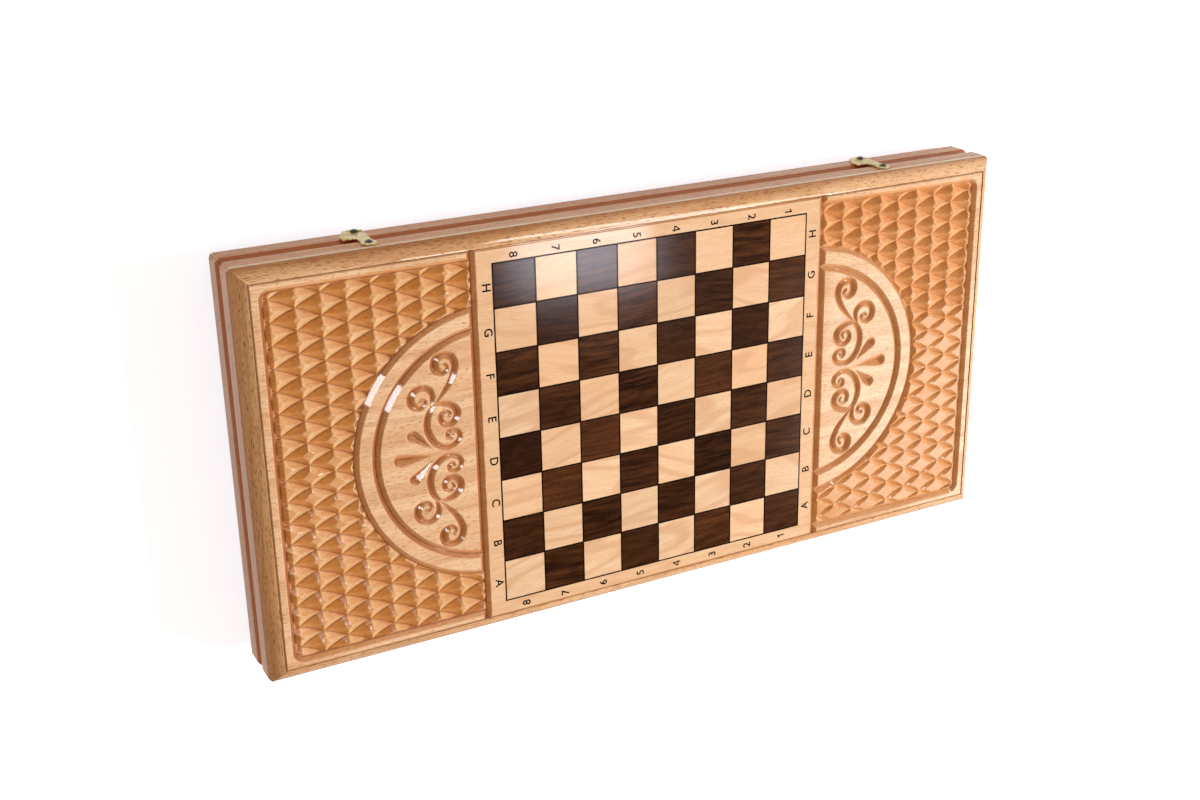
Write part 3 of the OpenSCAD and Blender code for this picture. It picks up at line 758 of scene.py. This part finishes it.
def snapToLines(x, y, step, back):
    # moves inner points the shortest way onto the nearest ring, ring edge or lattice line, where that is within
    # reach; the rims and the points beside straight grooves stay
    s, cell = panel, lattice
    moved = np.zeros(x.shape, bool)
    moved[[0, -1], :] = True
    moved[:, [0, -1]] = True
    reach, half = s["reach"] * step, s["grooveHalf"]
    cx, cy = (0.0, 0.0) if back else (s["ringAt"] * np.sign(x), s["ringMiddle"])
    far = np.hypot(x - cx, y - cy) + 1e-9  # never 0, it divides below
    border, grooveFar = borderDistance(x, y, s), np.abs(x) - s["grooveAt"]
    free = np.abs(border) > half + s["clear"]
    if not back:
        free &= grooveFar > half + s["clear"]
    nx, ny = x.copy(), y.copy()
    for ring in s["rings"]:
        for offset in (0.0, -half, half):
            gap = far - (ring + offset)
            take = free & ~moved & (np.abs(gap) < reach)
            nx[take] -= (gap * (x - cx) / far)[take]
            ny[take] -= (gap * (y - cy) / far)[take]
            moved |= take
    area = free & (far > s["rings"][1] + half + s["clear"]) & (border < -half)
    for start, covered in latticeParts(x, cell, back):
        for across, _, (ax, ay) in latticeLines(x, y, cell, start):
            take = area & covered & ~moved & (np.abs(across) < reach)
            nx[take] -= (across * ax)[take]
            ny[take] -= (across * ay)[take]
            moved |= take
    return nx, ny


cutTones = {
    # depths and distances in mm, the rest from 0 to 1
    "fullDeep": 1.2,               # lattice and scrolls this deep have the whole cut tone
    "plainDeep": 0.8, "plainMost": 0.8,  # the same for plain grooves, and the most they have of it
    "areaLeast": 0.7,              # the least anywhere in the lattice
    # painted shade: darkness of a valley in the lattice and elsewhere, and of a wall that faces -X: on the lid's
    # left, and elsewhere
    "valleyFaint": (0.2, 0.4), "valleyFull": (0.6, 0.9),
    "wallFaint": 0.6, "wallFull": 0.9,
    "valleyWide": (1.25, 0.75),    # 1 at its line, falling from this level by 1 in this distance
    "valleyDeep": (0.6, 2.6),      # from no to full darkness between these depths
    "wallSlope": 0.6,              # slope with the full darkness
    "lampWay": (-0.97, 0.24),     # the key lamp's way across the board: a facet facing it gets a painted highlight, one facing away painted shade
    "facetSlope": 0.47, "facetFaint": 0.45,
}


def toneCuts(x, y, cuts, back, s):
    # what the finish reads at each point: cut grows with depth, the valley mark, painted shade, is high near a deep
    # line and on walls that face -X, the facing mark is a facet's slope towards the key lamp, for painted highlight
    # or shade, and matt is the lattice's duller varnish
    deep, line, figure, cells = cuts
    inArea, inLattice = cells != 0, cells > 0
    faint = (x < 0) & (not back)
    shallow = np.clip(deep / s["plainDeep"], 0, 1)
    cut = np.maximum(np.clip(figure / s["fullDeep"], s["plainMost"] * shallow, 1), s["areaLeast"] * inArea)
    level = np.where(faint[..., None], s["valleyFaint"], s["valleyFull"])
    level = np.where(inLattice, level[..., 0], level[..., 1])
    low, full = s["valleyDeep"]
    near = np.clip(s["valleyWide"][0] - line / s["valleyWide"][1], 0, 1)
    bottom = level * near * np.clip((deep - low) / (full - low), 0, 1)
    slopeX, slopeY = (np.gradient(deep, axis=k) / np.gradient(v, axis=k) for k, v in ((0, x), (1, y)))
    # painted shade on walls that face -X
    shadedWall = np.clip(-slopeX / s["wallSlope"], 0, 1) * shallow * ~inLattice
    shadedWall = shadedWall * np.where(faint, s["wallFaint"], s["wallFull"])
    # painted highlight or painted shade by a facet's slope towards the key lamp
    slope = (s["lampWay"][0] * slopeX + s["lampWay"][1] * slopeY) / s["facetSlope"]
    facingLamp = np.clip(slope, -1, 1) * np.where(faint, s["facetFaint"], 1) * inArea
    return {"cut": cut, "valleyShade": np.maximum(bottom, shadedWall), "matt": np.clip(cells / s["fullDeep"], 0, 1),
            "facingLamp": facingLamp}


def carvedQuarter(name, xLines, yLines, step, outer, inner, back):
    # height field over a grid of lines: outer face at height outer less the cut, each cell parted along the diagonal
    # that comes nearer the cut at its middle, closed by walls and a flat inner face
    x, y = np.meshgrid(xLines, yLines, indexing="ij")
    x, y = snapToLines(x, y, step, back)
    cuts = carvedDepth(x, y, back)
    deep, side = cuts[0], 1 if outer > inner else -1
    index = np.arange(x.size).reshape(x.shape)
    a, b, c, d = index[:-1, :-1], index[1:, :-1], index[1:, 1:], index[:-1, 1:]
    flatX, flatY, flatDeep = x.ravel(), y.ravel(), deep.ravel()
    middleX, middleY = ((v[a] + v[b] + v[c] + v[d]) / 4 for v in (flatX, flatY))
    middle = carvedDepth(middleX, middleY, back)[0]
    first = np.abs((flatDeep[a] + flatDeep[c]) / 2 - middle) <= np.abs((flatDeep[b] + flatDeep[d]) / 2 - middle)
    one = np.where(first[..., None], np.stack([a, b, c], -1), np.stack([a, b, d], -1))
    two = np.where(first[..., None], np.stack([a, c, d], -1), np.stack([b, c, d], -1))
    top = np.concatenate([one.reshape(-1, 3), two.reshape(-1, 3)])
    rim = np.concatenate([index[:, 0], index[-1, 1:], index[-2::-1, -1], index[0, -2:0:-1]])
    n, count = x.size, len(rim)
    low, hub = n + np.arange(count), n + count
    nextRim, nextLow = np.roll(rim, -1), np.roll(low, -1)
    walls = np.concatenate([np.stack([rim, low, nextLow], -1), np.stack([rim, nextLow, nextRim], -1)])
    innerFan = np.stack([nextLow, low, np.full(count, hub)], -1)
    points = np.zeros((hub + 1, 3))
    points[:n] = np.stack([flatX, flatY, outer - side * flatDeep], -1)
    points[n:hub] = points[rim]
    points[n:hub, 2] = inner
    points[hub] = (x.mean(), y.mean(), inner)
    faces = np.concatenate([top, walls, innerFan])[:, ::side]
    obj = newPiece(name, points, faces)
    for label, values in toneCuts(x, y, cuts, back, cutTones).items():
        stored = np.zeros(len(points), np.float32)
        stored[:n] = values.ravel()
        obj.data.attributes.new(label, "FLOAT", "POINT").data.foreach_set("value", stored)
    return obj


def newPiece(name, points, faces):
    # flat triangles from arrays, the points in mm
    mesh = bpy.data.meshes.new(name)
    corners = faces.shape[1]
    mesh.vertices.add(len(points))
    mesh.vertices.foreach_set("co", (points * mm).astype(np.float32).ravel())
    mesh.loops.add(faces.size)
    mesh.loops.foreach_set("vertex_index", faces.astype(np.int32).ravel())
    mesh.polygons.add(len(faces))
    mesh.polygons.foreach_set("loop_start", np.arange(0, faces.size, corners, dtype=np.int32))
    mesh.update(calc_edges=True)
    mesh.polygons.foreach_set("use_smooth", np.zeros(len(faces), bool))
    return shown(name, mesh)


def fitPiece(obj, body, finish, slot, *nodes):
    # gives a piece its finish and its body, and hides the nodes it stands for
    obj.data.materials.append(finishes[finish])
    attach(obj, body)
    if nodes:
        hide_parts(*nodes)


def carvedPanels(s):
    # four quarters of each carved face, on grids with a line along every straight edge of the carving
    g, half = s["grooveAt"], s["grooveHalf"]
    around = (-half, 0, half)
    ends = [s["long"], s["long"] - s["edgeCut"]] + [s["borderLong"] + k for k in around]
    sides = [s["wide"], s["wide"] - s["edgeCut"]] + [s["borderWide"] + k for k in around]
    seat = s["seatHalf"] - s["seatWall"]
    xOut = gridLines([0, seat, s["seatHalf"], g - half, g, g + half, *ends], s["step"], coarse=[(0, seat)])
    yUp = gridLines([s["ringMiddle"], *sides], s["step"])
    yDown = -gridLines([-s["ringMiddle"], *sides], s["step"])[::-1]
    backX, backY = gridLines([0, *ends], s["backStep"]), gridLines([0, *sides], s["backStep"])
    lid = ("lid", xOut, yDown, yUp, s["step"], s["top"], s["top"] - s["thick"])
    base = ("base", backX, -backY[::-1], backY, s["backStep"], 0.0, s["thick"])
    for part, xs, down, up, step, outer, inner in (lid, base):
        for tag, across in (("right", xs), ("left", -xs[::-1])):
            for row, ys in (("front", down), ("back", up)):
                name = f"{part}_carving_{row}_{tag}"
                obj = carvedQuarter(name, across, ys, step, outer, inner, part == "base")
                fitPiece(obj, part, "carvedPanel", "carved_beech", f"{part}_panel")
                print(obj.name, len(obj.data.polygons))


carvedPanels(panel)
print("carved panels ready")

# frame, hooks and screws: the parts' own shapes with softened edges
softening = {
    # round-over in mm, least angle of an edge that gets it, steps
    "rail": (0.45, 20, 3),
    "hook": (0.22, 50, 2),
    "screw": (0.12, 50, 2),
    "merge": 0.002,                # mm
    "flat": 0.5,                   # degrees by which a face may bend and still be one
}
notch = {
    # where a long groove runs out into the frame, mm
    "x": 139.0, "end": -133.2, "start": -120.0,
    "half": 3.3, "deep": 2.5, "top": 58.0,
    "above": 1.0,                  # how far the cutter stands above the wood
    "turns": 25,
}


def grooveCutter(s, side):
    # hull of the groove's bottom line and of its outline above the wood, which is wider by above over deep and ends
    # in a half circle
    wide = s["half"] * (1 + s["above"] / s["deep"])
    turn = np.linspace(0, math.pi, s["turns"])
    x = s["x"] * side
    outline = [(x + wide * math.cos(a), s["end"] - wide * math.sin(a)) for a in turn]
    outline += [(x - wide, s["start"]), (x + wide, s["start"])]
    points = [(*spot, s["top"] + s["above"]) for spot in outline]
    points += [(x, s["end"], s["top"] - s["deep"]), (x, s["start"], s["top"] - s["deep"])]
    shape = bmesh.new()
    for point in points:
        shape.verts.new(Vector(point) * mm)
    bmesh.ops.convex_hull(shape, input=shape.verts)
    mesh = bpy.data.meshes.new("cutter")
    shape.to_mesh(mesh)
    shape.free()
    return shown("cutter", mesh)


def softened(node, name, kind, cutters=()):
    # copy of a part with merged corners, cut where asked, its flat faces joined and its sharp edges rounded
    width, angle, steps = softening[kind]
    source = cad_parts[node]
    shape = bmesh.new()
    shape.from_mesh(source.data)
    shape.transform(source.matrix_world)
    bmesh.ops.remove_doubles(shape, verts=shape.verts, dist=softening["merge"] * mm)
    mesh = bpy.data.meshes.new(name)
    shape.to_mesh(mesh)
    shape.free()
    obj = shown(name, mesh)
    for cutter in cutters:
        cut = obj.modifiers.new("cut", "BOOLEAN")
        cut.operation, cut.solver, cut.object = "DIFFERENCE", "EXACT", cutter
    shape = bmesh.new()
    shape.from_object(obj, bpy.context.evaluated_depsgraph_get())
    obj.modifiers.clear()
    bmesh.ops.remove_doubles(shape, verts=shape.verts, dist=softening["merge"] * mm)
    bent = math.radians(softening["flat"])
    bmesh.ops.dissolve_limit(shape, angle_limit=bent, verts=shape.verts, edges=shape.edges)
    shape.to_mesh(mesh)
    shape.free()
    mesh.materials.clear()
    mesh.polygons.foreach_set("use_smooth", np.ones(len(mesh.polygons), bool))
    bevel = obj.modifiers.new("soft", "BEVEL")
    bevel.width, bevel.segments, bevel.limit_method = width * mm, steps, "ANGLE"
    bevel.angle_limit, bevel.use_clamp_overlap, bevel.harden_normals = math.radians(angle), True, True
    return obj


cutters = [grooveCutter(notch, side) for side in (1, -1)]
for half in ("base", "lid"):
    for side in ("front", "back", "left", "right"):
        node = f"{half}_rail_{side}"
        ends = cutters if (half, side) == ("lid", "front") else ()
        obj = softened(node, f"{half}_moulding_{side}", "rail", ends)
        fitPiece(obj, half, "railAlong" if side in ("front", "back") else "railAcross", "beech", node)
for cutter in cutters:
    bpy.data.objects.remove(cutter)
for side in ("left", "right"):
    obj = softened(f"latch_{side}_hook", f"latch_{side}_plate", "hook")
    fitPiece(obj, f"latch_{side}", "brass", "brass", f"latch_{side}_hook")
    for part, body in (("pivot", "lid"), ("catch", "base")):
        obj = softened(f"latch_{side}_{part}_screw", f"latch_{side}_{part}_head", "screw")
        fitPiece(obj, body, "screwSteel", "screw_steel", f"latch_{side}_{part}_screw")
print("frame and latches ready")

# letters and numbers
lettering = {
    "letters": "HGFEDCBA", "numbers": "87654321",
    "capHeight": 6.2, "pitch": 31.0,       # mm
    "columnLeft": 128.7, "columnRight": -129.9, "rowFront": -128.1, "rowBack": 129.6,
    "middleLetter": 3.49, "middleNumber": 3.5,  # where the middle of the board lies among the signs
    "top": 58.0, "bottom": 57.6,
    "proud": 0.02,                         # height of the signs above the veneer round them
    "topBand": 0.1,                        # a point of the veneer this near its top is part of the top
    "bold": 0.016,                         # how far the outlines are pushed out
    "halfThick": 0.01, "arcSteps": 5,      # of a sign as it is first made
    "drawn": {                             # outlines of two signs the typeface gives no good bold for
        "1": [[(0.30, 0), (0.46, 0), (0.46, 1), (0.34, 1), (0.30, 0.93), (0.06, 0.77), (0.06, 0.61), (0.30, 0.74)]],
        "4": [[(0.42, 0), (0.57, 0), (0.57, 0.23), (0.70, 0.23), (0.70, 0.37), (0.57, 0.37), (0.57, 1), (0.41, 1),
               (0, 0.38), (0, 0.23), (0.42, 0.23)], [(0.42, 0.37), (0.15, 0.37), (0.42, 0.78)]],
    },
}


def pointsOf(mesh):
    # a mesh's points as rows
    points = np.zeros(len(mesh.vertices) * 3)
    mesh.vertices.foreach_get("co", points)
    return points.reshape(-1, 3)


def glyph(sign, s):
    # one sign as points and faces, one cap height tall, its middle at the origin
    if sign in s["drawn"]:
        curve = bpy.data.curves.new("sign", "CURVE")
        curve.dimensions, curve.fill_mode = "2D", "BOTH"
        for outline in s["drawn"][sign]:
            spline = curve.splines.new("POLY")
            spline.points.add(len(outline) - 1)
            for point, (x, y) in zip(spline.points, outline):
                point.co = (x, y, 0, 1)
            spline.use_cyclic_u = True
    else:
        curve = bpy.data.curves.new("sign", "FONT")
        curve.body, curve.resolution_u, curve.offset = sign, s["arcSteps"], s["bold"]
    curve.extrude = s["halfThick"]
    obj = shown("sign", curve)
    mesh = bpy.data.meshes.new_from_object(obj.evaluated_get(bpy.context.evaluated_depsgraph_get()))
    points = pointsOf(mesh)
    faces = [tuple(p.vertices) for p in mesh.polygons]
    low, high = points.min(0), points.max(0)
    points[:, :2] = (points[:, :2] - (low + high)[:2] / 2) / (high - low)[1]
    bpy.data.objects.remove(obj)
    return points, faces


def letterMesh(s):
    # each sign turned a quarter either way, scaled to the cap height and set on its row or column
    spots = []
    for column, turn in ((s["columnLeft"], 1), (s["columnRight"], -1)):
        spots += [(c, column, (k - s["middleLetter"]) * s["pitch"], turn) for k, c in enumerate(s["letters"])]
    for row, turn in ((s["rowFront"], 1), (s["rowBack"], -1)):
        spots += [(c, (s["middleNumber"] - k) * s["pitch"], row, turn) for k, c in enumerate(s["numbers"])]
    points, faces, count = [], [], 0
    for sign, x, y, turn in spots:
        shape, sides = glyph(sign, s)
        size = turn * s["capHeight"]
        height = np.where(shape[:, 2] > 0, s["top"], s["bottom"])
        points.append(np.stack([x - size * shape[:, 1], y + size * shape[:, 0], height], -1))
        faces += [tuple(v + count for v in side) for side in sides]
        count += len(shape)
    mesh = bpy.data.meshes.new("board_lettering")
    mesh.from_pydata((np.vstack(points) * mm).tolist(), [], faces)
    return shown("board_lettering", mesh)


def borderVeneer(s):
    # copy of the veneer round the squares, its top lower by what the signs stand proud
    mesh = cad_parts["chess_border"].data.copy()
    mesh.name = "board_border"
    points = pointsOf(mesh)
    points[points[:, 2] > (s["top"] - s["topBand"]) * mm, 2] -= s["proud"] * mm
    mesh.vertices.foreach_set("co", points.ravel())
    mesh.materials.clear()
    return shown("board_border", mesh)


fitPiece(borderVeneer(lettering), "lid", "border", "pale_veneer", "chess_border")
fitPiece(letterMesh(lettering), "lid", "ink", "dark_veneer")
print("lettering ready")
